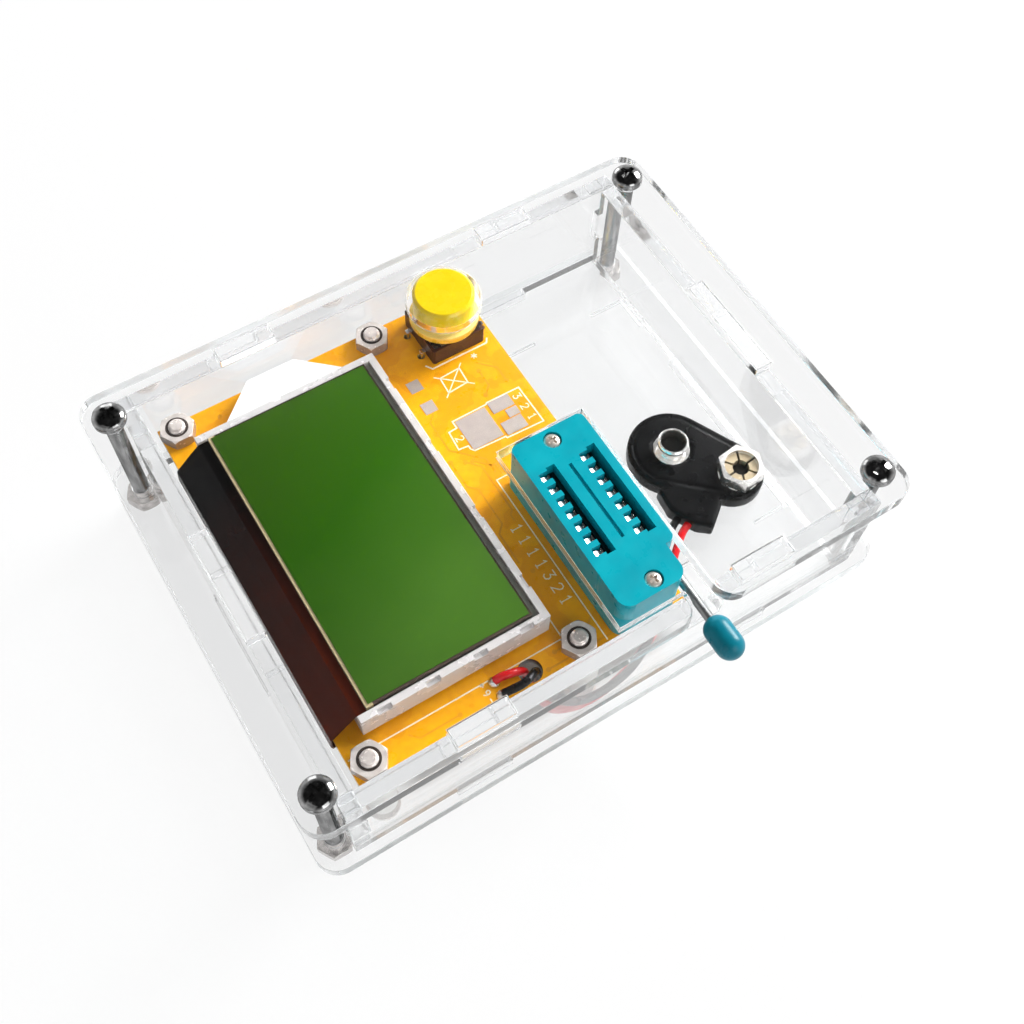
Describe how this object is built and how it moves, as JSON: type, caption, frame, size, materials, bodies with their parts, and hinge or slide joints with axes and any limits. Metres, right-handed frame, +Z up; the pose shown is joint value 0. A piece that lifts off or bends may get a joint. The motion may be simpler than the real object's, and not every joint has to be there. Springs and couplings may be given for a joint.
{
  "type": "component tester",
  "caption": "Pocket electronics component tester in a clear sheet box, with a green display, lever-operated test socket, push button and battery snap.",
  "frame": {"origin": "centre of the overall footprint, lever's knob included, on the surface that the corner nuts stand on", "axes": "+X to the right along the long side, +Y to the back, away from the lever's knob, +Z up through the lid"},
  "size_m": [0.11, 0.0906, 0.0304],
  "materials": {
    "clear_acrylic": "gloss",
    "nickel_screws": "bright",
    "board_orange": "gloss",
    "pad_metal": "satin",
    "white_plastic": "satin",
    "foam_grey": "matte",
    "green_glass": "gloss",
    "rear_glass": "gloss",
    "flex_brown": "satin",
    "teal_plastic": "satin",
    "contact_metal": "bright",
    "lever_steel": "bright",
    "black_plastic": "satin",
    "cover_steel": "satin",
    "yellow_cap": "gloss",
    "red_insulation": "satin",
    "black_insulation": "satin",
    "solder": "bright",
    "can_steel": "satin",
    "ceramic_tan": "matte"
  },
  "bodies": {
    "case": {"top_plate": "clear_acrylic", "bottom_plate": "clear_acrylic", "front_wall": "clear_acrylic", "back_wall": "clear_acrylic", "left_wall": "clear_acrylic", "right_wall": "clear_acrylic", "case_screws": "nickel_screws", "case_nuts": "nickel_screws", "circuit_board": "board_orange", "board_screws": "nickel_screws", "board_spacers": "white_plastic", "board_nuts": "nickel_screws", "test_pads": "pad_metal", "lcd_foam_pads": "foam_grey", "lcd_backlight": "white_plastic", "lcd_light_guide": "white_plastic", "lcd_rear_glass": "rear_glass", "lcd_front_glass": "green_glass", "lcd_flex_cable": "flex_brown", "socket_base": "teal_plastic", "socket_cover": "teal_plastic", "socket_contacts": "contact_metal", "socket_screws": "nickel_screws", "switch_body": "black_plastic", "switch_dome": "contact_metal", "switch_cover": "cover_steel", "switch_terminals": "contact_metal", "snap_shell": "black_plastic", "snap_male_stud": "contact_metal", "snap_female_stud": "contact_metal", "red_lead": "red_insulation", "black_lead": "black_insulation", "lead_solder": "solder", "microcontroller": "black_plastic", "crystal": "can_steel", "voltage_regulator": "black_plastic", "capacitors": "ceramic_tan", "resistors": "black_plastic"},
    "lever": {"lever_rod": "lever_steel", "lever_knob": "teal_plastic"},
    "slider": {"socket_slider": "teal_plastic"},
    "button": {"switch_plunger": "black_plastic", "button_cap": "yellow_cap"}
  },
  "joints": [
    {"name": "lever_hinge", "type": "hinge", "parent": "case", "child": "lever", "pos_m": [0.0053, -0.02735, 0.0224], "axis": [-1, 0, 0], "range_deg": [0, 90]},
    {"name": "slider_slide", "type": "slide", "parent": "case", "child": "slider", "axis": [0, 1, 0], "range_m": [0, 0.0005]},
    {"name": "button_press", "type": "slide", "parent": "case", "child": "button", "axis": [0, 0, -1], "range_m": [0, 0.0005], "stiffness_N_per_m": 1500}
  ],
  "couplings": [
    {"joint": "lever_hinge", "follows": "slider_slide", "rad_per_m": 3141.6}
  ]
}
